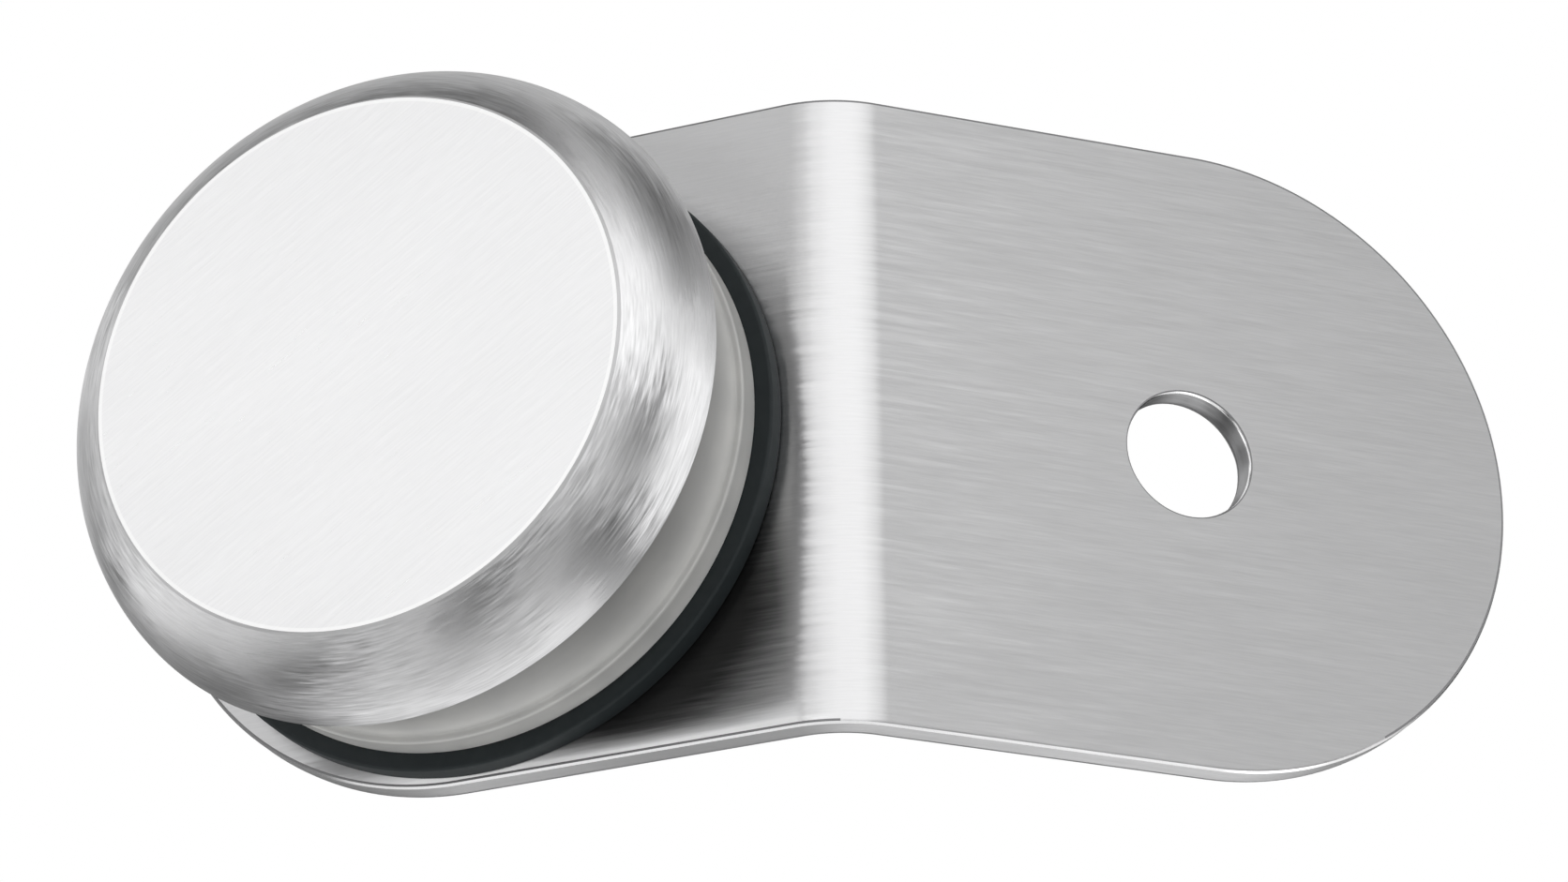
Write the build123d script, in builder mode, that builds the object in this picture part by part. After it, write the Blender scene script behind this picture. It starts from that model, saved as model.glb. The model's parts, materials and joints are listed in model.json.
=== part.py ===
from build123d import *
from math import cos, radians, sin, tan
import os

os.makedirs("parts", exist_ok=True)

# Lengths are in millimetres and angles in degrees.
# Each reach is measured along a wing's front face, from the line where the two front faces would meet.

# Bent plate
plate_width = 60.0
plate_thickness = 3.0
plate_bend_angle = 45.0
plate_bend_inner_radius = 8.0
plate_edge_break = 0.3

# Fixing wing
fixing_hole_reach = 34.2
fixing_end_reach = 35.7
fixing_hole_diameter = 12.0
hole_edge_break = 0.25

# Glass wing
button_reach = 34.5
glass_end_reach = 36.5
screw_hole_diameter = 11.0

# Black rubber gasket
gasket_diameter = 59.0
gasket_thickness = 2.2
gasket_edge_break = 0.3

# Clear collar with the flange at its foot
collar_diameter = 54.5
collar_height = 11.4
flange_diameter = 55.8
flange_thickness = 2.8
flange_edge_break = 0.25

# Turned cap
cap_diameter = 61.0
cap_face_diameter = 49.8
cap_height = 8.35
cap_shoulder_radius = 9.5
cap_rim_land = 0.1
cap_face_bevel = 0.25
cap_rim_edge_break = 0.2

# Threaded boss of the cap
boss_diameter = 16.0
boss_foot_gap = 0.5
boss_foot_chamfer = 0.5
boss_clearance = 0.2
boss_thread_depth = 17.0

# Screw and washer on the back of the glass wing
screw_diameter = 10.0
screw_length = 20.0
screw_tip_chamfer = 1.0
screw_head_diameter = 17.5
screw_head_height = 5.5
screw_head_land = 2.0
screw_head_flat_diameter = 11.0
screw_socket_across_flats = 6.0
screw_socket_depth = 3.2
thread_clearance = 0.05
washer_diameter = 20.0
washer_thickness = 2.0
washer_bore_clearance = 0.25
washer_edge_break = 0.25

# Bend, worked out from the plate's sizes: its axis lies behind the plate
half_width = plate_width / 2
bend_outer_radius = plate_bend_inner_radius + plate_thickness
bend_setback = bend_outer_radius * tan(radians(plate_bend_angle / 2))
front_faces_meet_x = -fixing_hole_reach
bend_start_x = front_faces_meet_x + bend_setback
bend_axis = Axis((bend_start_x, plate_bend_inner_radius, 0), (0, 0, -1))

# Directions of the glass wing: out of its front face, and along it away from the bend
glass_normal = Vector(-sin(radians(plate_bend_angle)), -cos(radians(plate_bend_angle)), 0)
glass_outward = Vector(-cos(radians(plate_bend_angle)), sin(radians(plate_bend_angle)), 0)
button_foot = Vector(front_faces_meet_x, -plate_thickness, 0) + glass_outward * button_reach

# Working planes: local x runs away from the bend and local z out of the front face
fixing_back = Plane(origin=(0, 0, 0), x_dir=(1, 0, 0), z_dir=(0, -1, 0))
fixing_front = fixing_back.offset(plate_thickness)
glass_front = Plane(origin=button_foot, x_dir=glass_outward, z_dir=glass_normal)
glass_back = glass_front.offset(-plate_thickness)

# Half section through the button: local x is the radius and local y the height above the plate
button_axis = Axis(button_foot, glass_normal)
button_section = Plane(
    origin=button_foot, x_dir=glass_outward, z_dir=glass_outward.cross(glass_normal)
)

# Heights above the front face of the glass wing
flange_top = gasket_thickness + flange_thickness
cap_underside = flange_top + collar_height
cap_top = cap_underside + cap_height
shoulder_foot = cap_underside + cap_rim_edge_break + cap_rim_land
shoulder_top = cap_top - cap_face_bevel
shoulder_top_radius = cap_face_diameter / 2 + cap_face_bevel
screw_seat = -plate_thickness - washer_thickness
screw_head_top = screw_seat - screw_head_height

# Plate: two flat wings joined by the bend, one piece
with BuildPart() as bracket_plate:
    for wing_back, hole_reach, end_reach in (
        (fixing_back, fixing_hole_reach, fixing_end_reach),
        (glass_back, button_reach, glass_end_reach),
    ):
        wing_start = bend_setback - hole_reach
        end_centre = end_reach - hole_reach
        with BuildSketch(wing_back):
            with BuildLine():
                Line((wing_start, half_width), (end_centre, half_width))
                ThreePointArc(
                    (end_centre, half_width),
                    (end_centre + half_width, 0),
                    (end_centre, -half_width),
                )
                Line((end_centre, -half_width), (wing_start, -half_width))
                Line((wing_start, -half_width), (wing_start, half_width))
            make_face()
        extrude(amount=plate_thickness)
    with BuildSketch(Plane(origin=(bend_start_x, 0, 0), x_dir=(0, 1, 0), z_dir=(1, 0, 0))):
        with Locations((-plate_thickness / 2, 0)):
            Rectangle(plate_thickness, plate_width)
    revolve(axis=bend_axis, revolution_arc=plate_bend_angle)
    fixing_sides = bracket_plate.edges().filter_by(Axis.X)
    glass_sides = bracket_plate.edges().filter_by(Axis((0, 0, 0), glass_outward))
    rounded_edges = bracket_plate.edges().filter_by(GeomType.CIRCLE)
    chamfer(fixing_sides + glass_sides + rounded_edges, length=plate_edge_break)
    with Locations(fixing_front):
        Hole(fixing_hole_diameter / 2, depth=plate_thickness)
    fixing_hole_rims = bracket_plate.edges(Select.LAST).filter_by(GeomType.CIRCLE)
    chamfer(fixing_hole_rims, length=hole_edge_break)
    with Locations(glass_front):
        Hole(screw_hole_diameter / 2, depth=plate_thickness)
    screw_hole_rims = bracket_plate.edges(Select.LAST).filter_by(GeomType.CIRCLE)
    chamfer(screw_hole_rims, length=hole_edge_break)
bracket_plate.part.label = "bracket_plate"
export_step(bracket_plate.part, "parts/bracket_plate.step")

# Black gasket: a flat rubber ring that keeps the collar off the steel
with BuildPart() as black_gasket:
    with BuildSketch(glass_front):
        Circle(gasket_diameter / 2)
        Circle(boss_diameter / 2 + boss_clearance, mode=Mode.SUBTRACT)
    extrude(amount=gasket_thickness)
    outer_edges = black_gasket.edges().filter_by(GeomType.CIRCLE).group_by(SortBy.RADIUS)[-1]
    chamfer(outer_edges, length=gasket_edge_break)
black_gasket.part.label = "black_gasket"
export_step(black_gasket.part, "parts/black_gasket.step")

# Clear collar: a moulded ring with a wider flange where it meets the gasket
with BuildPart() as clear_collar:
    with BuildSketch(button_section):
        with BuildLine():
            Polyline(
                (boss_diameter / 2 + boss_clearance, gasket_thickness),
                (flange_diameter / 2, gasket_thickness),
                (flange_diameter / 2, flange_top),
                (collar_diameter / 2, flange_top),
                (collar_diameter / 2, cap_underside),
                (boss_diameter / 2 + boss_clearance, cap_underside),
                close=True,
            )
        make_face()
    revolve(axis=button_axis)
    flange_edges = clear_collar.edges().filter_by(GeomType.CIRCLE).group_by(SortBy.RADIUS)[-1]
    chamfer(flange_edges, length=flange_edge_break)
clear_collar.part.label = "clear_collar"
export_step(clear_collar.part, "parts/clear_collar.step")

# Cap: turned from bar, with a flat face, a rounded shoulder and a boss with a blind thread
with BuildPart() as clamp_cap:
    with BuildSketch(button_section):
        with BuildLine():
            Polyline(
                (0, cap_top),
                (0, boss_foot_gap),
                (boss_diameter / 2, boss_foot_gap),
                (boss_diameter / 2, cap_underside),
                (cap_diameter / 2 - cap_rim_edge_break, cap_underside),
                (cap_diameter / 2, cap_underside + cap_rim_edge_break),
                (cap_diameter / 2, shoulder_foot),
            )
            RadiusArc(
                (cap_diameter / 2, shoulder_foot),
                (shoulder_top_radius, shoulder_top),
                -cap_shoulder_radius,
            )
            Polyline(
                (shoulder_top_radius, shoulder_top),
                (cap_face_diameter / 2, cap_top),
                (0, cap_top),
            )
        make_face()
    revolve(axis=button_axis)
    boss_foot = clamp_cap.faces().sort_by(button_axis)[0]
    chamfer(boss_foot.edges(), length=boss_foot_chamfer)
    with BuildSketch(glass_front.offset(boss_foot_gap)):
        Circle(screw_diameter / 2 + thread_clearance)
    extrude(amount=boss_thread_depth, mode=Mode.SUBTRACT)
clamp_cap.part.label = "clamp_cap"
export_step(clamp_cap.part, "parts/clamp_cap.step")

# Washer on the back of the glass wing
with BuildPart() as screw_washer:
    with BuildSketch(glass_back):
        Circle(washer_diameter / 2)
        Circle(screw_diameter / 2 + washer_bore_clearance, mode=Mode.SUBTRACT)
    extrude(amount=-washer_thickness)
    washer_edges = screw_washer.edges().filter_by(GeomType.CIRCLE).group_by(SortBy.RADIUS)[-1]
    chamfer(washer_edges, length=washer_edge_break)
screw_washer.part.label = "screw_washer"
export_step(screw_washer.part, "parts/screw_washer.step")

# Screw: bevelled head with a hexagon socket, plain shank in place of its thread
with BuildPart() as clamp_screw:
    with BuildSketch(button_section):
        with BuildLine():
            Polyline(
                (0, screw_head_top),
                (0, screw_seat + screw_length),
                (screw_diameter / 2 - screw_tip_chamfer, screw_seat + screw_length),
                (screw_diameter / 2, screw_seat + screw_length - screw_tip_chamfer),
                (screw_diameter / 2, screw_seat),
                (screw_head_diameter / 2, screw_seat),
                (screw_head_diameter / 2, screw_seat - screw_head_land),
                (screw_head_flat_diameter / 2, screw_head_top),
                (0, screw_head_top),
            )
        make_face()
    revolve(axis=button_axis)
    with BuildSketch(glass_front.offset(screw_head_top)):
        RegularPolygon(screw_socket_across_flats / 2, side_count=6, major_radius=False)
    extrude(amount=screw_socket_depth, mode=Mode.SUBTRACT)
clamp_screw.part.label = "clamp_screw"
export_step(clamp_screw.part, "parts/clamp_screw.step")
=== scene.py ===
import json
from collections import namedtuple
from math import asin, cos, pi, radians, sin, tan

import bmesh
import bpy
from mathutils import Matrix, Vector


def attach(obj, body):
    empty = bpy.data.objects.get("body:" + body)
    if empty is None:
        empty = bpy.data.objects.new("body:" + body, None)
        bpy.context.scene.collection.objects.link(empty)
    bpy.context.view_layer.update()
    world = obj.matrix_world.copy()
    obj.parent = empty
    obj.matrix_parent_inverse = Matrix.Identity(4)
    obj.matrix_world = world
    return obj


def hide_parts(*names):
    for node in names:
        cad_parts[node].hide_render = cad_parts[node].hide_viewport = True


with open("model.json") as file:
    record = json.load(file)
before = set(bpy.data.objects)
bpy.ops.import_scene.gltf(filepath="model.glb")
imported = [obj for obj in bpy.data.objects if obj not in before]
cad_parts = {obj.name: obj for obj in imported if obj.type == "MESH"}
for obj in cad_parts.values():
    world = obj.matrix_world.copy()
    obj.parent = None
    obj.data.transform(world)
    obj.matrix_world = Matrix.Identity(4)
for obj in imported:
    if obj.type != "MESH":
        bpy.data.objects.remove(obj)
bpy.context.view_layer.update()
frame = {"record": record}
scene = bpy.context.scene
scene.view_settings.view_transform = "Standard"

# Camera
# The bracket hangs from its fixing hole, and it is seen from the front, below and a little
# to the left, from about 0.6 m, as in the photograph.
camera_place = Vector((-0.23678, -0.48733, -0.24007))
camera_aim = Vector((-0.03779, 0.00005, -0.00327))
camera_roll = radians(-0.87)
camera_lens_mm = 151.7
camera_sensor_mm = 36.0

camera_data = bpy.data.cameras.new("camera")
camera_data.lens = camera_lens_mm
camera_data.sensor_width = camera_sensor_mm
camera = bpy.data.objects.new("camera", camera_data)
scene.collection.objects.link(camera)
line_of_sight = (camera_aim - camera_place).to_track_quat("-Z", "Y").to_matrix()
camera.location = camera_place
camera.rotation_euler = (line_of_sight @ Matrix.Rotation(camera_roll, 3, "Z")).to_euler()
scene.camera = camera

# Bent plate
# One blank of 3 mm stainless sheet with fully rounded ends and two punched holes. It is deburred,
# brushed along its length, and then bent once by 45 degrees over an 8 mm tool.
plate_width = 0.060
plate_thickness = 0.003
bend_angle = radians(45)
bend_inner_radius = 0.008
fixing_hole_radius = 0.006
screw_hole_radius = 0.0055
fixing_hole_reach = 0.0342
fixing_end_reach = 0.0357
button_reach = 0.0345
glass_end_reach = 0.0365
bend_strips = 30
end_segments = 96
hole_segments = 72
cutting_slack = 1e-7

# The rows of the cut edge, from the back face to the front one, each with its distance in from
# the cut and its height above the back face. The finishes lie between one row and the next. At
# the holes the rows lie nearer to the cut, at a share of those distances.
edge_rows = (
    (0.00032, 0.0),
    (0.0002, 0.00005),
    (0.00009, 0.00025),
    (0.00004, 0.0006),
    (0.0, 0.00095),
    (0.0, 0.00267),
    (0.00015, 0.00294),
    (0.00035, plate_thickness),
)
# Eased rows carry a painted highlight, and burr rows a painted dark shade line.
brushed, eased, sheared, burred, punched = range(5)
outline_finishes = (burred, eased, burred, sheared, sheared, eased, burred)
hole_finishes = (burred, eased, burred, punched, punched, eased, burred)
hole_edge_share = 0.6

# On the lower edge of the fixing wing, the front face's burr rows take the plate's brushed steel
# and no painted shade line: all of them that lie further to the front than this depth and lower
# than this height.
unshaded_burr_depth = 0.0029
unshaded_burr_height = -0.0245

bend_outer_radius = bend_inner_radius + plate_thickness
bend_setback = bend_outer_radius * tan(bend_angle / 2)
bend_length = bend_angle * (bend_inner_radius + plate_thickness / 2)
bend_start_x = bend_setback - fixing_hole_reach
glass_wing_out = Vector((-sin(bend_angle), -cos(bend_angle), 0))
fixing_hole_u = bend_setback - fixing_hole_reach
fixing_end_u = bend_setback - fixing_end_reach
screw_hole_u = bend_length + button_reach - bend_setback
glass_end_u = bend_length + glass_end_reach - bend_setback


def arc_points(centre_u, radius, start, turn, segments):
    """Points of an arc on the flat blank, as (distance past the bend's start, height)."""
    steps = [start + turn * i / segments for i in range(segments + 1)]
    return [(centre_u + radius * cos(a), radius * sin(a)) for a in steps]


def rims(inset):
    """The outline and the two holes on the flat blank, each moved into the steel by inset."""
    outline = arc_points(fixing_end_u, plate_width / 2 - inset, pi / 2, pi, end_segments)
    outline += arc_points(glass_end_u, plate_width / 2 - inset, -pi / 2, pi, end_segments)
    rings = [outline]
    for hole_u, hole_radius in (
        (fixing_hole_u, fixing_hole_radius),
        (screw_hole_u, screw_hole_radius),
    ):
        rim_radius = hole_radius + inset * hole_edge_share
        rings.append(arc_points(hole_u, rim_radius, 0, 2 * pi, hole_segments)[:-1])
    return rings


def bent(u, depth, height):
    """Where a point of the flat blank goes: u is its distance past the bend's start."""
    turned = min(max(u / bend_length, 0), 1) * bend_angle
    radius = bend_inner_radius + depth
    x = bend_start_x - radius * sin(turned)
    y = bend_inner_radius - radius * cos(turned)
    straight = min(u, 0) if u < bend_length else u - bend_length
    return Vector((x - straight * cos(turned), y + straight * sin(turned), height))


def finished(name, shape, sharp_angle):
    """A mesh object from a bmesh, smooth but for edges sharper than sharp_angle."""
    mesh = bpy.data.meshes.new(name)
    shape.to_mesh(mesh)
    shape.free()
    mesh.shade_smooth()
    mesh.set_sharp_from_angle(angle=sharp_angle)
    piece = bpy.data.objects.new(name, mesh)
    scene.collection.objects.link(piece)
    weighted = piece.modifiers.new("even_normals", "WEIGHTED_NORMAL")
    weighted.keep_sharp = True
    weighted.weight = 100
    return piece


blank = bmesh.new()
grain_map = blank.loops.layers.uv.new("grain")
rows = []
for inset, depth in edge_rows:
    rings = []
    for rim in rims(inset):
        rings.append([blank.verts.new((u, depth, height)) for u, height in rim])
    rows.append(rings)
for row, finishes in enumerate(zip(outline_finishes, hole_finishes, hole_finishes)):
    for finish, back_rim, front_rim in zip(finishes, rows[row], rows[row + 1]):
        travelled = 0.0
        for i, corner in enumerate(back_rim):
            j = (i + 1) % len(back_rim)
            face = blank.faces.new((corner, back_rim[j], front_rim[j], front_rim[i]))
            face.material_index = finish
            start = travelled
            travelled += (back_rim[j].co - corner.co).length
            for loop, along in zip(face.loops, (start, travelled, travelled, start)):
                loop[grain_map].uv = (along, loop.vert.co.y)
for rings, way in ((rows[0], -1), (rows[-1], 1)):
    rim_edges = []
    for ring in rings:
        rim_edges += [blank.edges.get((ring[i - 1], corner)) for i, corner in enumerate(ring)]
    bmesh.ops.triangle_fill(blank, edges=rim_edges, use_beauty=True, normal=(0, way, 0))
for strip in range(bend_strips + 1):
    bmesh.ops.bisect_plane(
        blank,
        geom=blank.verts[:] + blank.edges[:] + blank.faces[:],
        plane_co=Vector((bend_length * strip / bend_strips, 0, 0)),
        plane_no=(1, 0, 0),
        dist=cutting_slack,
    )
for face in blank.faces:
    middle = face.calc_center_median()
    on_front_burr = face.material_index == burred and middle.y > unshaded_burr_depth
    if on_front_burr and middle.x < bend_length / 2 and middle.z < unshaded_burr_height:
        face.material_index = brushed
    if face.material_index not in (sheared, punched):
        for loop in face.loops:
            loop[grain_map].uv = (loop.vert.co.x, loop.vert.co.z)
for corner in blank.verts:
    corner.co = bent(corner.co.x, corner.co.y, corner.co.z)
bmesh.ops.recalc_face_normals(blank, faces=blank.faces)
plate = finished("bent_plate", blank, sharp_angle=radians(20))

# Brushing is made of layers of lines. The noise that draws them is stretched along the grain.
line_detail = 2.0
line_middle = 0.5
line_gain = 4.0
layer_spacing = 7.3
grain_turn = 0.25
relief_strength = 0.5
relief_depth = 0.0001

Lines = namedtuple("Lines", "length width tone rough tilt relief", defaults=(0.0, 0.0))


def new_material(name):
    """A material, the tree of its nodes, and the shader that they feed."""
    material = bpy.data.materials.new(name)
    material.use_nodes = True
    tree = material.node_tree
    return material, tree, tree.nodes["Principled BSDF"]


def feed(tree, node, inputs):
    """Feeds a node's inputs, each from another node's output or with a plain value."""
    for socket, value in inputs.items():
        if isinstance(value, bpy.types.NodeSocket):
            tree.links.new(value, node.inputs[socket])
        else:
            node.inputs[socket].default_value = value


def add_node(tree, kind, inputs=None, **choices):
    """A new node, with its choices made and then its inputs fed."""
    node = tree.nodes.new("ShaderNode" + kind)
    for choice, value in choices.items():
        setattr(node, choice, value)
    feed(tree, node, inputs or {})
    return node


def math_of(tree, operation, *values):
    """The outcome of a math node."""
    inputs = dict(enumerate(values))
    return add_node(tree, "Math", inputs, operation=operation).outputs["Value"]


def vector_of(tree, operation, inputs, output="Vector"):
    """The outcome of a vector math node."""
    return add_node(tree, "VectorMath", inputs, operation=operation).outputs[output]


def fading(tree, value, start, end, low, high):
    """A smooth change from low to high while a value goes from start to end."""
    bounds = {"Value": value, "From Min": start, "From Max": end, "To Min": low, "To Max": high}
    return add_node(tree, "MapRange", bounds, interpolation_type="SMOOTHSTEP").outputs["Result"]


def grain_place(tree):
    """The place on the grain map, whole and as its separate numbers."""
    place = add_node(tree, "UVMap", uv_map="grain").outputs["UV"]
    return place, add_node(tree, "SeparateXYZ", {"Vector": place}).outputs


def brushed_steel(
    name, color, roughness, anisotropy, grain, streak, uneven, ring_radius=None, marks=None
):
    """Brushed stainless steel. grain, streak and uneven are its layers of lines, each with its
    length and width in metres along the grain map's U and V, and how far it swings the tone,
    the roughness, the surface's tilt along U, and its relief. The lines go round a ring if
    ring_radius is given. marks is a function for the painted shade and painted highlight that
    only one piece shows: it gets the tree, the tilt and the tone, and gives back the tone and a
    further lean of the surface."""
    material, tree, shader = new_material(name)
    place = grain_place(tree)[1]
    tone, rough, tilt, height = 1.0, roughness, 0.0, 0.0
    for number, lines in enumerate((grain, streak, uneven)):
        if ring_radius:
            angle = math_of(tree, "DIVIDE", place["X"], ring_radius)
            turned_x = math_of(tree, "COSINE", angle)
            turned_y = math_of(tree, "SINE", angle)
            lines_x = math_of(tree, "MULTIPLY", turned_x, ring_radius / lines.length)
            lines_y = math_of(tree, "MULTIPLY", turned_y, ring_radius / lines.length)
        else:
            lines_x = math_of(tree, "DIVIDE", place["X"], lines.length)
            lines_y = layer_spacing * number
        lines_z = math_of(tree, "DIVIDE", place["Y"], lines.width)
        spot = add_node(tree, "CombineXYZ", {"X": lines_x, "Y": lines_y, "Z": lines_z})
        drawn = {"Vector": spot.outputs["Vector"], "Scale": 1.0, "Detail": line_detail}
        noise = add_node(tree, "TexNoise", drawn).outputs["Fac"]
        wave = math_of(tree, "SUBTRACT", noise, line_middle)
        wave = math_of(tree, "MULTIPLY", wave, line_gain)
        tone = math_of(tree, "MULTIPLY_ADD", wave, lines.tone, tone)
        rough = math_of(tree, "MULTIPLY_ADD", wave, lines.rough, rough)
        tilt = math_of(tree, "MULTIPLY_ADD", wave, lines.tilt, tilt)
        height = math_of(tree, "MULTIPLY_ADD", wave, lines.relief, height)
    lean = None
    if marks:
        tone, lean = marks(tree, tilt, tone)
    along = add_node(tree, "Tangent", direction_type="UV_MAP", uv_map="grain").outputs["Tangent"]
    relief = {"Strength": relief_strength, "Distance": relief_depth, "Height": height}
    upright = add_node(tree, "Bump", relief).outputs["Normal"]
    tilted = vector_of(tree, "SCALE", {0: along, "Scale": tilt})
    normal = vector_of(tree, "ADD", {0: upright, 1: tilted})
    if lean:
        normal = vector_of(tree, "ADD", {0: normal, 1: lean})
    steel = {
        "Base Color": vector_of(tree, "SCALE", {0: color, "Scale": tone}),
        "Metallic": 1.0,
        "Roughness": rough,
        "Anisotropic": anisotropy,
        "Anisotropic Rotation": grain_turn,
        "Tangent": along,
        "Normal": vector_of(tree, "NORMALIZE", {0: normal}),
    }
    feed(tree, shader, steel)
    return material


# A painted shadow of the button, a soft dark spot, lies on the front of the glass wing, beside
# the button. Here is where its middle lies on the grain map, how much tone is left there, and how
# it fades, frays and ends.
shadow_off_screw = 0.0154
shadow_height = -0.016
shadow_radius = 0.0104
shadow_fade = 0.0095
shadow_tone = 0.08
shadow_fray = 0.02
shadow_fold_slant = 0.08
shadow_fold_start = 0.0074521
shadow_fold_end = 0.0102874
shadow_edge_share = 0.25
shadow_edge_start = -0.0298
shadow_edge_end = -0.0278

# The lower edge of that front rolls over a little and has a painted highlight, most at its lip.
roll_start = -0.0268
roll_end = -0.0296
roll_lean = -0.28
roll_shine = 0.3
lip_start = -0.0289
lip_shine = 0.5

# Painted shade darkens the glass wing's cut edge, from the bend on. These are distances round
# the outline.
edge_shade_start = 0.127
edge_shade_full = 0.133
edge_shade_fade = 0.142
edge_shade_end = 0.168
edge_shade_depth = 0.36


def glass_wing_painted_light(tree, tilt, tone):
    """The painted shadow beside the button, and the rolled lower edge of the glass wing's front,
    brightened by a painted highlight.
    """
    place, spot = grain_place(tree)
    facing = add_node(tree, "NewGeometry").outputs["Normal"]
    toward = vector_of(tree, "DOT_PRODUCT", {0: facing, 1: glass_wing_out}, "Value")
    on_front = math_of(tree, "GREATER_THAN", toward, 0.0)

    shadow_middle = (screw_hole_u - shadow_off_screw, shadow_height, 0)
    away = vector_of(tree, "DISTANCE", {0: place, 1: shadow_middle}, "Value")
    away = math_of(tree, "MULTIPLY_ADD", tilt, shadow_fray, away)
    shadow_end = shadow_radius + shadow_fade
    dark = fading(tree, away, shadow_radius, shadow_end, 1.0 - shadow_tone, 0.0)
    slanted = math_of(tree, "MULTIPLY_ADD", spot["Y"], -shadow_fold_slant, spot["X"])
    off_fold = fading(tree, slanted, shadow_fold_start, shadow_fold_end, 0.0, 1.0)
    off_edge = fading(
        tree, spot["Y"], shadow_edge_start, shadow_edge_end, shadow_edge_share, 1.0
    )
    for share in (on_front, off_fold, off_edge):
        dark = math_of(tree, "MULTIPLY", dark, share)
    tone = math_of(tree, "MULTIPLY", tone, math_of(tree, "SUBTRACT", 1.0, dark))

    past_bend = fading(tree, spot["X"], bend_length / 2, bend_length, 0.0, 1.0)
    rolled = fading(tree, spot["Y"], roll_start, roll_end, 0.0, 1.0)
    for share in (past_bend, on_front):
        rolled = math_of(tree, "MULTIPLY", rolled, share)
    at_lip = fading(tree, spot["Y"], lip_start, roll_end, 0.0, 1.0)
    lip = math_of(tree, "MULTIPLY", rolled, at_lip)
    for shining, shine in ((rolled, roll_shine), (lip, lip_shine)):
        tone = math_of(tree, "MULTIPLY", tone, math_of(tree, "MULTIPLY_ADD", shining, shine, 1.0))
    lean = add_node(tree, "CombineXYZ", {"Z": math_of(tree, "MULTIPLY", rolled, roll_lean)})
    return tone, lean.outputs["Vector"]


def glass_edge_painted_shade(tree, _, tone):
    """The lower cut edge of the glass wing, darkened by painted shade. The tilt has no part in it.
    """
    travelled = grain_place(tree)[1]["X"]
    past_bend = fading(tree, travelled, edge_shade_start, edge_shade_full, 0.0, edge_shade_depth)
    before_end = fading(tree, travelled, edge_shade_fade, edge_shade_end, 1.0, 0.0)
    edge_shade = math_of(tree, "MULTIPLY", past_bend, before_end)
    return math_of(tree, "MULTIPLY", tone, math_of(tree, "SUBTRACT", 1.0, edge_shade)), None


for steel in (
    brushed_steel(
        "brushed_plate",
        color=(0.7, 0.7, 0.705),
        roughness=0.33,
        anisotropy=0.9,
        grain=Lines(length=0.0035, width=0.0002, tone=0.05, rough=0.02, tilt=0.014, relief=0.05),
        streak=Lines(length=0.009, width=0.0004, tone=0.03, rough=0.015, tilt=0.03),
        uneven=Lines(length=0.03, width=0.008, tone=0.01, rough=0.01),
        # Painted shadow beside the button and painted highlight on the glass wing's lower edge.
        marks=glass_wing_painted_light,
    ),
    # The eased rows' brighter steel is a painted highlight, on top of the bright panels their slope
    # reflects.
    brushed_steel(
        "eased_edge_painted_highlight",
        color=(0.95, 0.95, 0.955),
        roughness=0.2,
        anisotropy=0.0,
        grain=Lines(length=0.004, width=0.0003, tone=0.02, rough=0.01),
        streak=Lines(length=0.009, width=0.0008, tone=0.02, rough=0.01),
        uneven=Lines(length=0.03, width=0.008, tone=0.01, rough=0.01),
    ),
    brushed_steel(
        "sheared_edge",
        color=(0.68, 0.68, 0.685),
        roughness=0.4,
        anisotropy=0.3,
        grain=Lines(length=0.004, width=0.0002, tone=0.04, rough=0.02, tilt=0.02, relief=0.05),
        streak=Lines(length=0.009, width=0.0006, tone=0.04, rough=0.02, tilt=0.02),
        uneven=Lines(length=0.02, width=0.002, tone=0.03, rough=0.02),
        # Painted shade darkens this steel along the glass wing's lower cut edge.
        marks=glass_edge_painted_shade,
    ),
    # The burr rows' dark steel is painted shade, a dark line along the edges.
    brushed_steel(
        "burr_painted_shade_line",
        color=(0.28, 0.28, 0.285),
        roughness=0.6,
        anisotropy=0.0,
        grain=Lines(length=0.004, width=0.0003, tone=0.02, rough=0.01),
        streak=Lines(length=0.009, width=0.0008, tone=0.02, rough=0.01),
        uneven=Lines(length=0.02, width=0.004, tone=0.04, rough=0.02),
    ),
    brushed_steel(
        "punched_wall",
        color=(0.36, 0.36, 0.365),
        roughness=0.36,
        anisotropy=0.4,
        grain=Lines(length=0.004, width=0.0002, tone=0.12, rough=0.03, tilt=0.03, relief=0.05),
        streak=Lines(length=0.003, width=0.0006, tone=0.14, rough=0.03, tilt=0.04),
        uneven=Lines(length=0.004, width=0.002, tone=0.08, rough=0.02, tilt=0.04),
    ),
):
    plate.data.materials.append(steel)
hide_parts("bracket_plate")
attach(plate, "root")

# Black gasket
# A flat ring of black rubber, cut from sheet. It lies on the front of the glass wing and keeps
# the clear collar off the steel.
gasket_radius = 0.0295
gasket_thickness = 0.0022
gasket_edge_break = 0.0003
boss_hole_radius = 0.0082
rubber_dark = (0.012, 0.0165, 0.018)
rubber_light = (0.021, 0.027, 0.029)
ring_segments = 256
on_axis = 1e-9

# The grain of every turned piece is measured as if it all ran round at this one radius.
ring_grain_radius = 0.028

# The button's pieces are turned about one axis, which stands on the front of the glass wing.
button_mount = next(m for m in frame["record"]["mounts"] if m["name"] == "glass_clamp")
button_out = Vector(button_mount["axis"]).normalized()
button_side = Vector((0, 0, 1)).cross(button_out)
button_frame = Matrix((button_side, Vector((0, 0, 1)), button_out)).transposed().to_4x4()
button_frame.translation = bent(screw_hole_u, plate_thickness, 0)


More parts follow.
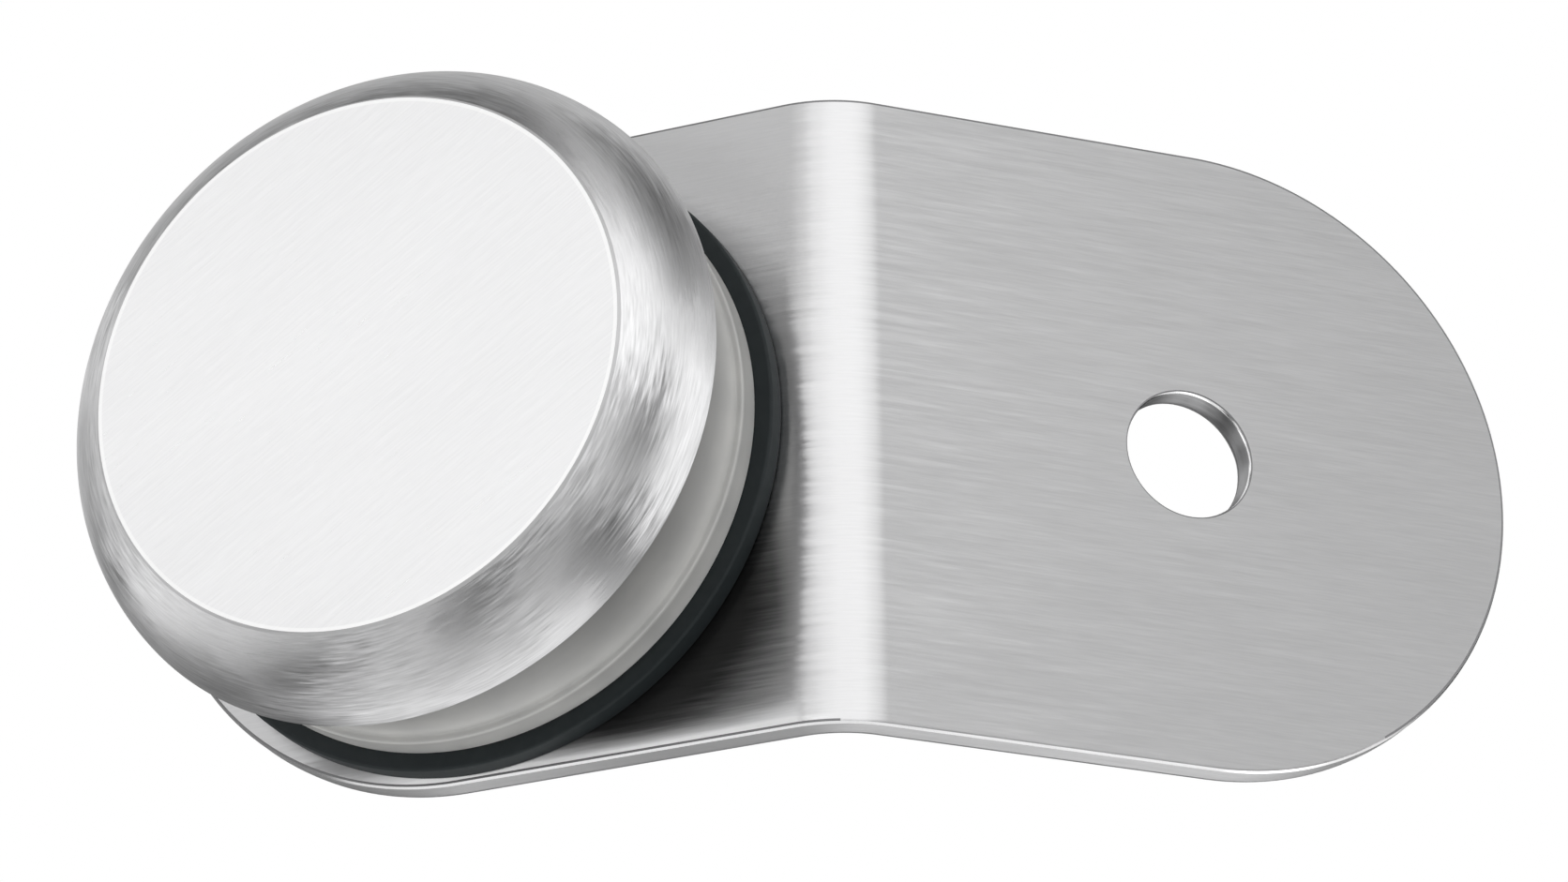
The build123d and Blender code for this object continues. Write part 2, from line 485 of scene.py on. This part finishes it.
def rounded(corners, radii, steps=4):
    """A closed profile of (radius, height) corners, each rounded by its own small radius."""
    points = []
    count = len(corners)
    for i, radius in enumerate(radii):
        here = Vector(corners[i])
        before = (Vector(corners[i - 1]) - here).normalized()
        after = (Vector(corners[(i + 1) % count]) - here).normalized()
        if radius == 0:
            points.append(here)
            continue
        start, end = here + before * radius, here + after * radius
        for step in range(steps + 1):
            t = step / steps
            points.append(start * (1 - t) ** 2 + here * 2 * t * (1 - t) + end * t**2)
    return points


def turned_skin(shape, profile, closed, segments):
    """Adds a profile of (radius, height) points turned round the axis. A radius may be a function
    of the angle. The grain runs round."""
    grain_map = shape.loops.layers.uv["grain"]
    angles = [2 * pi * i / segments for i in range(segments)]
    rows = []
    along = [0.0]
    for radius, height in profile:
        radii = [radius(a) if callable(radius) else radius for a in angles]
        if max(radii) < on_axis:
            rows.append([shape.verts.new((0, 0, height))] * segments)
        else:
            ring = [(r * cos(a), r * sin(a), height) for r, a in zip(radii, angles)]
            rows.append([shape.verts.new(spot) for spot in ring])
        if len(rows) > 1:
            along.append(along[-1] + (rows[-1][0].co - rows[-2][0].co).length)
    spans = list(zip(range(len(rows)), range(1, len(rows))))
    if closed:
        spans.append((len(rows) - 1, 0))
    for lower, upper in spans:
        for i in range(segments):
            j = (i + 1) % segments
            corners = [rows[lower][i], rows[lower][j], rows[upper][j], rows[upper][i]]
            face = shape.faces.new(list(dict.fromkeys(corners)))
            for loop in face.loops:
                step = i if loop.vert in (rows[lower][i], rows[upper][i]) else i + 1
                low_row = loop.vert in (rows[lower][i], rows[lower][j])
                across = along[lower] if low_row or upper == 0 else along[upper]
                loop[grain_map].uv = (2 * pi * step / segments * ring_grain_radius, across)


def turned(name, profile, closed, sharp_angle):
    """A ring or disc, turned round the button's axis."""
    shape = bmesh.new()
    shape.loops.layers.uv.new("grain")
    turned_skin(shape, profile, closed, ring_segments)
    bmesh.ops.recalc_face_normals(shape, faces=shape.faces)
    shape.transform(button_frame)
    return finished(name, shape, sharp_angle)


def shaded(tree, value, stops):
    """A colour that follows a value from 0 to 1, through stops of (value, colour)."""
    ramp = add_node(tree, "ValToRGB", {"Fac": value})
    marks = ramp.color_ramp.elements
    for spot, color in stops[1:-1]:
        marks.new(spot).color = (*color, 1)
    for mark, (spot, color) in ((marks[0], stops[0]), (marks[-1], stops[-1])):
        mark.position = spot
        mark.color = (*color, 1)
    return ramp.outputs["Color"]


def black_rubber():
    """Matt black sheet rubber with a faint mottle."""
    material, tree, shader = new_material("black_rubber")
    place = add_node(tree, "TexCoord").outputs["Object"]
    fine = {"Vector": place, "Scale": 900.0, "Detail": 4.0}
    mottle = add_node(tree, "TexNoise", fine).outputs["Fac"]
    relief = {"Strength": 0.1, "Distance": relief_depth, "Height": mottle}
    rubber = {
        "Base Color": shaded(tree, mottle, ((0.0, rubber_dark), (1.0, rubber_light))),
        "Roughness": 0.62,
        "Specular IOR Level": 0.3,
        "Normal": add_node(tree, "Bump", relief).outputs["Normal"],
    }
    feed(tree, shader, rubber)
    return material


gasket = turned(
    "rubber_gasket",
    rounded(
        (
            (boss_hole_radius, 0),
            (gasket_radius, 0),
            (gasket_radius, gasket_thickness),
            (boss_hole_radius, gasket_thickness),
        ),
        (0, gasket_edge_break, gasket_edge_break, 0),
    ),
    closed=True,
    sharp_angle=radians(40),
)
gasket.data.materials.append(black_rubber())
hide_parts("black_gasket")
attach(gasket, "root")

# Clear collar
# A moulded ring of frosted, slightly grey clear plastic, with a wider flange at its foot. It
# stands on the gasket, round the cap's boss, and fills the place of the pane.
collar_radius = 0.02725
collar_height = 0.0114
flange_radius = 0.0279
flange_thickness = 0.0028
moulded_edge = 0.00022
cloud_grey = (0.88, 0.88, 0.86)
cloud_white = (1.0, 0.995, 0.965)

flange_top = gasket_thickness + flange_thickness
cap_underside = flange_top + collar_height

# Places along the turned profile, on the grain map's V, and how pale the plastic is at each. The
# darker places are painted shade, up under the cap and under the flange's edge.
flange_foot_v = flange_radius - boss_hole_radius
flange_edge_v = flange_foot_v + flange_thickness
wall_foot_v = flange_edge_v + flange_radius - collar_radius
wall_top_v = wall_foot_v + collar_height
collar_painted_shade = (
    (flange_foot_v, 1.0),
    (flange_edge_v - 0.0006, 0.72),
    (flange_edge_v - 0.0003, 1.0),
    (wall_foot_v + 0.0005, 1.0),
    (wall_foot_v + 0.0017, 0.82),
    (wall_foot_v + 0.0035, 0.6),
    (wall_foot_v + 0.006, 0.42),
    (wall_foot_v + 0.008, 0.22),
    (wall_top_v, 0.14),
)


def frosted_plastic():
    """Frosted clear plastic: cloudy inside, satin outside. A painted shade darkens it up under the
    cap and under the flange's edge."""
    material, tree, shader = new_material("frosted_plastic")
    place = add_node(tree, "TexCoord").outputs["Object"]
    soft = {"Vector": place, "Scale": 210.0, "Detail": 2.0}
    cloud = add_node(tree, "TexNoise", soft).outputs["Fac"]
    cloudy = shaded(tree, cloud, ((0.3, cloud_grey), (0.7, cloud_white)))
    climb = math_of(tree, "DIVIDE", grain_place(tree)[1]["Y"], wall_top_v)
    # The painted shade: darker up under the cap and under the flange's edge.
    stops = [(spot / wall_top_v, (pale, pale, pale)) for spot, pale in collar_painted_shade]
    both = {"Factor": 1.0, "A": cloudy, "B": shaded(tree, climb, stops)}
    clouded_and_shaded = add_node(tree, "Mix", both, data_type="RGBA", blend_type="MULTIPLY")
    relief = {"Strength": 0.05, "Distance": 0.0002, "Height": cloud}
    plastic = {
        "Base Color": clouded_and_shaded.outputs["Result"],
        "Roughness": 0.42,
        "IOR": 1.46,
        "Transmission Weight": 0.45,
        "Normal": add_node(tree, "Bump", relief).outputs["Normal"],
    }
    feed(tree, shader, plastic)
    return material


collar = turned(
    "frosted_collar",
    rounded(
        (
            (boss_hole_radius, gasket_thickness),
            (flange_radius, gasket_thickness),
            (flange_radius, flange_top),
            (collar_radius, flange_top),
            (collar_radius, cap_underside),
            (boss_hole_radius, cap_underside),
        ),
        (0, moulded_edge, moulded_edge, moulded_edge, moulded_edge, 0),
    ),
    closed=True,
    sharp_angle=radians(40),
)
collar.data.materials.append(frosted_plastic())
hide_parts("clear_collar")
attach(collar, "root")

# Clamp cap
# Turned from stainless bar: flat face brushed straight, rounded shoulder brushed round, and a
# threaded boss below. The clamp screw pulls it down on the collar.
cap_radius = 0.0305
cap_face_radius = 0.0249
cap_line_radius = 0.02455
cap_height = 0.00835
cap_shoulder_radius = 0.0095
cap_shoulder_steps = 40
cap_rim_land = 0.0001
cap_rim_break = 0.0002
cap_face_bevel = 0.00025
boss_radius = 0.008
boss_foot = 0.0005
boss_chamfer = 0.0005
boss_bore_radius = 0.00505
boss_bore_depth = 0.017
face_grain_angle = radians(33)
face_slack = 1e-5

cap_top = cap_underside + cap_height
shoulder_foot = Vector((cap_radius, cap_underside + cap_rim_break + cap_rim_land))
shoulder_top = Vector((cap_face_radius + cap_face_bevel, cap_top - cap_face_bevel))
shoulder_chord = shoulder_top - shoulder_foot
shoulder_half_turn = asin(shoulder_chord.length / 2 / cap_shoulder_radius)
shoulder_in = Vector((-shoulder_chord.y, shoulder_chord.x)).normalized()
shoulder_centre = (shoulder_foot + shoulder_top) / 2
shoulder_centre += shoulder_in * cap_shoulder_radius * cos(shoulder_half_turn)
cap_profile = [
    Vector((0, boss_foot + boss_bore_depth)),
    Vector((boss_bore_radius, boss_foot + boss_bore_depth)),
    Vector((boss_bore_radius, boss_foot)),
    Vector((boss_radius - boss_chamfer, boss_foot)),
    Vector((boss_radius, boss_foot + boss_chamfer)),
    Vector((boss_radius, cap_underside)),
    Vector((cap_radius - cap_rim_break, cap_underside)),
    Vector((cap_radius, cap_underside + cap_rim_break)),
]
for step in range(cap_shoulder_steps + 1):
    swing = Matrix.Rotation(2 * shoulder_half_turn * step / cap_shoulder_steps, 2)
    cap_profile.append(shoulder_centre + swing @ (shoulder_foot - shoulder_centre))
cap_profile += [Vector((radius, cap_top)) for radius in (cap_face_radius, cap_line_radius, 0)]
cap = turned("turned_cap", cap_profile, closed=False, sharp_angle=radians(14))

# The face has straight grain inside a polished line, and a small step down to the shoulder.
face_finish, line_finish, step_finish = 1, 2, 3
to_button = button_frame.inverted()
grain_map = cap.data.uv_layers["grain"]
for face in cap.data.polygons:
    middle = to_button @ face.center
    if middle.z > shoulder_top.y + face_slack:
        face.material_index = step_finish
    if middle.z < cap_top - face_slack:
        continue
    face.material_index = face_finish if middle.xy.length < cap_line_radius else line_finish
    for loop in face.loop_indices:
        spot = to_button @ cap.data.vertices[cap.data.loops[loop].vertex_index].co
        along = spot.x * cos(face_grain_angle) + spot.y * sin(face_grain_angle)
        across = spot.y * cos(face_grain_angle) - spot.x * sin(face_grain_angle)
        grain_map.uv[loop].vector = (along, across)
for steel in (
    brushed_steel(
        "turned_shoulder",
        color=(0.6, 0.6, 0.605),
        roughness=0.33,
        anisotropy=0.85,
        grain=Lines(length=0.0028, width=0.0002, tone=0.19, rough=0.03, tilt=0.06, relief=0.05),
        streak=Lines(length=0.005, width=0.0004, tone=0.07, rough=0.02, tilt=0.03),
        uneven=Lines(length=0.007, width=0.004, tone=0.05, rough=0.02, tilt=0.04),
        ring_radius=ring_grain_radius,
    ),
    brushed_steel(
        "brushed_face",
        color=(0.865, 0.865, 0.87),
        roughness=0.3,
        anisotropy=0.5,
        grain=Lines(length=0.004, width=0.00018, tone=0.04, rough=0.02, tilt=0.008, relief=0.05),
        streak=Lines(length=0.012, width=0.0006, tone=0.015, rough=0.01, tilt=0.008),
        uneven=Lines(length=0.03, width=0.01, tone=0.003, rough=0.01),
    ),
    brushed_steel(
        "polished_line",
        color=(0.945, 0.945, 0.945),
        roughness=0.3,
        anisotropy=0.5,
        grain=Lines(length=0.004, width=0.00018, tone=0.02, rough=0.01, tilt=0.004, relief=0.02),
        streak=Lines(length=0.012, width=0.0006, tone=0.01, rough=0.01, tilt=0.004),
        uneven=Lines(length=0.03, width=0.01, tone=0.003, rough=0.01),
    ),
    brushed_steel(
        "face_step",
        color=(0.66, 0.66, 0.665),
        roughness=0.55,
        anisotropy=0.0,
        grain=Lines(length=0.0028, width=0.0002, tone=0.05, rough=0.03, tilt=0.02),
        streak=Lines(length=0.005, width=0.0004, tone=0.04, rough=0.02),
        uneven=Lines(length=0.007, width=0.004, tone=0.03, rough=0.02),
        ring_radius=ring_grain_radius,
    ),
):
    cap.data.materials.append(steel)
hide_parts("clamp_cap")
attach(cap, "root")

# Screw washer
# A flat stainless ring, stamped from 2 mm sheet and tumbled. It lies on the back of the glass wing
# and spreads the load of the clamp screw's head.
washer_radius = 0.010
washer_bore_radius = 0.00525
washer_thickness = 0.002
washer_edge_break = 0.00025

washer_seat = -plate_thickness
washer_back = washer_seat - washer_thickness
washer = turned(
    "flat_washer",
    rounded(
        (
            (washer_bore_radius, washer_back),
            (washer_radius, washer_back),
            (washer_radius, washer_seat),
            (washer_bore_radius, washer_seat),
        ),
        (washer_edge_break / 2, washer_edge_break, washer_edge_break, 0),
    ),
    closed=True,
    sharp_angle=radians(40),
)
washer.data.materials.append(
    brushed_steel(
        "tumbled_washer",
        color=(0.62, 0.62, 0.63),
        roughness=0.36,
        anisotropy=0.45,
        grain=Lines(length=0.003, width=0.0002, tone=0.10, rough=0.04, tilt=0.03, relief=0.05),
        streak=Lines(length=0.006, width=0.0005, tone=0.06, rough=0.03, tilt=0.03),
        uneven=Lines(length=0.004, width=0.003, tone=0.05, rough=0.04),
        ring_radius=ring_grain_radius,
    )
)
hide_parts("screw_washer")
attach(washer, "root")

# Clamp screw
# A stainless M10 screw with a bevelled head and a 6 mm hexagon socket, cold headed, with a rolled
# thread. From behind, it goes through the washer and the plate and draws the cap down.
screw_radius = 0.005
screw_length = 0.020
screw_tip_chamfer = 0.001
screw_head_radius = 0.00875
screw_head_height = 0.0055
screw_head_land = 0.002
screw_head_flat_radius = 0.0055
screw_edge_break = 0.0002
screw_steps = 96
socket_across_flats = 0.006
socket_depth = 0.0032
socket_lead_in = 0.0002
socket_drill_radius = 0.0024
socket_drill_depth = 0.0008
thread_pitch = 0.0015
thread_root_radius = 0.00408
thread_neck = 0.0012
weld_distance = 1e-6

screw_tip = washer_back + screw_length
thread_start = washer_back + thread_neck
head_top = washer_back - screw_head_height

# One pitch of the thread: how far up the pitch each row of corners is, and its radius.
thread_form = (
    (0.0, thread_root_radius),
    (0.3125, screw_radius),
    (0.4375, screw_radius),
    (0.75, thread_root_radius),
)
pitch_rows = len(thread_form)
pitch_count = int((screw_tip - thread_start) / thread_pitch) + 2
row_count = pitch_rows * pitch_count + 1


def socket_wall(angle):
    """The radius of the hexagon socket at an angle."""
    return socket_across_flats / 2 / cos(angle % radians(60) - radians(30))


def socket_mouth(angle):
    """The radius of the socket's chamfered mouth at an angle."""
    return socket_wall(angle) + socket_lead_in


def thread_corner(row, step):
    """A corner of the thread's surface. Rows run along the screw and steps run round it, and each
    row climbs by one pitch in a turn."""
    lift, radius = thread_form[row % pitch_rows]
    pitches = row // pitch_rows - 1 + lift + step / screw_steps
    height = thread_start + thread_pitch * pitches
    if height <= thread_start:
        height, radius = thread_start, thread_root_radius
    height = min(height, screw_tip)
    radius = min(radius, screw_radius - max(0, height - screw_tip + screw_tip_chamfer))
    turn = 2 * pi * step / screw_steps
    return Vector((radius * cos(turn), radius * sin(turn), height))


screw_shape = bmesh.new()
grain_map = screw_shape.loops.layers.uv.new("grain")
head_outline = rounded(
    (
        (0, head_top),
        (screw_head_flat_radius, head_top),
        (screw_head_radius, washer_back - screw_head_land),
        (screw_head_radius, washer_back),
        (0, washer_back),
    ),
    (0, screw_edge_break, screw_edge_break, screw_edge_break, 0),
)[1:-1]
turned_skin(
    screw_shape,
    [
        (0, head_top + socket_depth + socket_drill_depth),
        (socket_drill_radius, head_top + socket_depth),
        (socket_wall, head_top + socket_depth),
        (socket_wall, head_top + socket_lead_in),
        (socket_mouth, head_top),
        *head_outline,
        (screw_radius, washer_back),
        (screw_radius, washer_back + thread_neck / 2),
        (thread_root_radius, thread_start),
    ],
    closed=False,
    segments=screw_steps,
)
turned_skin(
    screw_shape,
    [(screw_radius - screw_tip_chamfer, screw_tip), (0, screw_tip)],
    closed=False,
    segments=screw_steps,
)
thread_grid = [
    [screw_shape.verts.new(thread_corner(row, step)) for step in range(screw_steps)]
    for row in range(row_count)
]
for row in range(row_count - 1):
    for step in range(screw_steps):
        corners = {}
        for r, s in ((row, step), (row, step + 1), (row + 1, step + 1), (row + 1, step)):
            r = min(r + pitch_rows * (s // screw_steps), row_count - 1)
            corners[thread_grid[r][s % screw_steps]] = s
        if len(corners) < 3:
            continue
        face = screw_shape.faces.new(list(corners))
        for loop in face.loops:
            turn = 2 * pi * corners[loop.vert] / screw_steps
            loop[grain_map].uv = (turn * ring_grain_radius, loop.vert.co.z)
bmesh.ops.remove_doubles(screw_shape, verts=screw_shape.verts, dist=weld_distance)
bmesh.ops.recalc_face_normals(screw_shape, faces=screw_shape.faces)
screw_shape.transform(button_frame)
screw = finished("socket_screw", screw_shape, sharp_angle=radians(30))
screw.data.materials.append(
    brushed_steel(
        "headed_screw",
        color=(0.6, 0.6, 0.61),
        roughness=0.34,
        anisotropy=0.3,
        grain=Lines(length=0.004, width=0.0003, tone=0.08, rough=0.04, tilt=0.02, relief=0.04),
        streak=Lines(length=0.006, width=0.0007, tone=0.05, rough=0.03, tilt=0.03),
        uneven=Lines(length=0.004, width=0.003, tone=0.06, rough=0.05),
        ring_radius=ring_grain_radius,
    )
)
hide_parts("clamp_screw")
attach(screw, "root")

# Studio
# Plain white room: a pale floor far below the hanging bracket and an even white sky. Grey and
# white panels stand round the bracket, out of the picture, for the steel alone to reflect.
floor_drop = 1.5
floor_size = 12.0
floor_color = (0.9, 0.9, 0.9, 1)
floor_roughness = 0.9
white = (1, 1, 1, 1)
sky_level = 0.9
backdrop_level = 1.0
panel_distance = 1.4
panel_gap = 0.01
panel_columns = 24
panel_rows = 16
panel_soft_edge = 5.0

floor_mesh = bpy.data.meshes.new("floor")
half = floor_size / 2
floor_corners = ((-half, -half), (half, -half), (half, half), (-half, half))
floor_mesh.from_pydata([(x, y, -floor_drop) for x, y in floor_corners], [], [(0, 1, 2, 3)])
floor = bpy.data.objects.new("floor", floor_mesh)
scene.collection.objects.link(floor)
floor_paint, tree, shader = new_material("floor_paint")
feed(tree, shader, {"Base Color": floor_color, "Roughness": floor_roughness})
floor.data.materials.append(floor_paint)

world = bpy.data.worlds.new("white_room")
world.use_nodes = True
scene.world = world
tree = world.node_tree
sky = tree.nodes["Background"]
feed(tree, sky, {"Color": white, "Strength": sky_level})
backdrop = add_node(tree, "Background", {"Color": white, "Strength": backdrop_level})
rays = add_node(tree, "LightPath").outputs
backdrop_rays = rays["Is Camera Ray"]
for kind in ("Is Glossy Ray", "Is Transmission Ray"):
    backdrop_rays = math_of(tree, "MAXIMUM", backdrop_rays, rays[kind])
room = {0: backdrop_rays, 1: sky.outputs["Background"], 2: backdrop.outputs["Background"]}
seen = add_node(tree, "MixShader", room)
feed(tree, tree.nodes["World Output"], {"Surface": seen.outputs["Shader"]})


def studio_panel(name, west, east, low, high, level, distance):
    """A curved panel round the bracket, seen only in its steel. The edges are compass angles
    from straight in front, in degrees, and the panel fades out over the last few of them. The
    level is how bright it is beside white."""
    shape = bmesh.new()
    fade = shape.loops.layers.uv.new("fade")
    grid = []
    for row in range(panel_rows + 1):
        elevation = radians(low + (high - low) * row / panel_rows)
        line = []
        for column in range(panel_columns + 1):
            azimuth = radians(west + (east - west) * column / panel_columns)
            across = distance * cos(elevation)
            spot = (across * sin(azimuth), -across * cos(azimuth), distance * sin(elevation))
            line.append(shape.verts.new(spot))
        grid.append(line)
    for row in range(panel_rows):
        for column in range(panel_columns):
            spots = ((row, column), (row, column + 1), (row + 1, column + 1), (row + 1, column))
            face = shape.faces.new([grid[r][c] for r, c in spots])
            for loop, (r, c) in zip(face.loops, spots):
                from_side = min(c, panel_columns - c) / panel_columns * (east - west)
                from_end = min(r, panel_rows - r) / panel_rows * (high - low)
                loop[fade].uv = (from_side / panel_soft_edge, from_end / panel_soft_edge)
    mesh = bpy.data.meshes.new(name)
    shape.to_mesh(mesh)
    shape.free()
    panel = bpy.data.objects.new(name, mesh)
    scene.collection.objects.link(panel)
    for kind in ("camera", "diffuse", "transmission", "volume_scatter", "shadow"):
        setattr(panel, f"visible_{kind}", False)

    cloth, tree, shader = new_material(name)
    cloth.cycles.emission_sampling = "NONE"
    tree.nodes.remove(shader)
    edges = add_node(tree, "UVMap", uv_map="fade").outputs["UV"]
    sides = add_node(tree, "SeparateXYZ", {"Vector": edges}).outputs
    nearest = math_of(tree, "MINIMUM", sides["X"], sides["Y"])
    clear = add_node(tree, "BsdfTransparent").outputs["BSDF"]
    glow = add_node(tree, "Emission", {"Strength": level}).outputs["Emission"]
    both = {0: fading(tree, nearest, 0.0, 1.0, 0.0, 1.0), 1: clear, 2: glow}
    soft = add_node(tree, "MixShader", both)
    feed(tree, tree.nodes["Material Output"], {"Surface": soft.outputs["Shader"]})
    mesh.materials.append(cloth)


for name, west, east, low, high, level in (
    ("key_panel", -48, 21, 9, 47, 1.7),
    ("key_side_panel", -85, -40, 12, 26, 1.7),
    ("ceiling_left", -138, -28, 39, 90, 0.11),
    ("ceiling_right", 15, 109, 41, 90, 0.1),
    ("right_flag", 31, 81, 31, 58, 0.05),
    ("low_middle_panel", -16, 29, -38, -15, 0.73),
    ("low_left_flag", -54, -32, -66, -9, 0.05),
    ("low_front_flag", -22, -10, -73, -9, 0.08),
    ("low_right_flag", 1, 41, -54, 7, 0.08),
    ("low_far_flag", 39, 89, -49, -27, 0.29),
    ("right_panel", 45, 89, -26, 22, 1.87),
    ("left_panel", -144, -57, -18, 4, 1.3),
    ("left_gap_flag", -90, -53, -24, 27, 0.05),
    ("left_flag", -143, -114, 31, 48, 0.07),
    ("low_side_flag", -148, -80, -52, -31, 0.08),
    ("behind_flag", 112, 178, -16, 45, 0.05),
    ("back_panel", 127, 210, 11, 90, 0.8),
    ("back_flag", 154, 229, -35, 27, 0.2),
    ("right_back_flag", 90, 153, 8, 44, 0.05),
    ("low_back_panel", 75, 186, -63, -35, 1.67),
):
    studio_panel(name, west, east, low, high, level, panel_distance)
    panel_distance += panel_gap
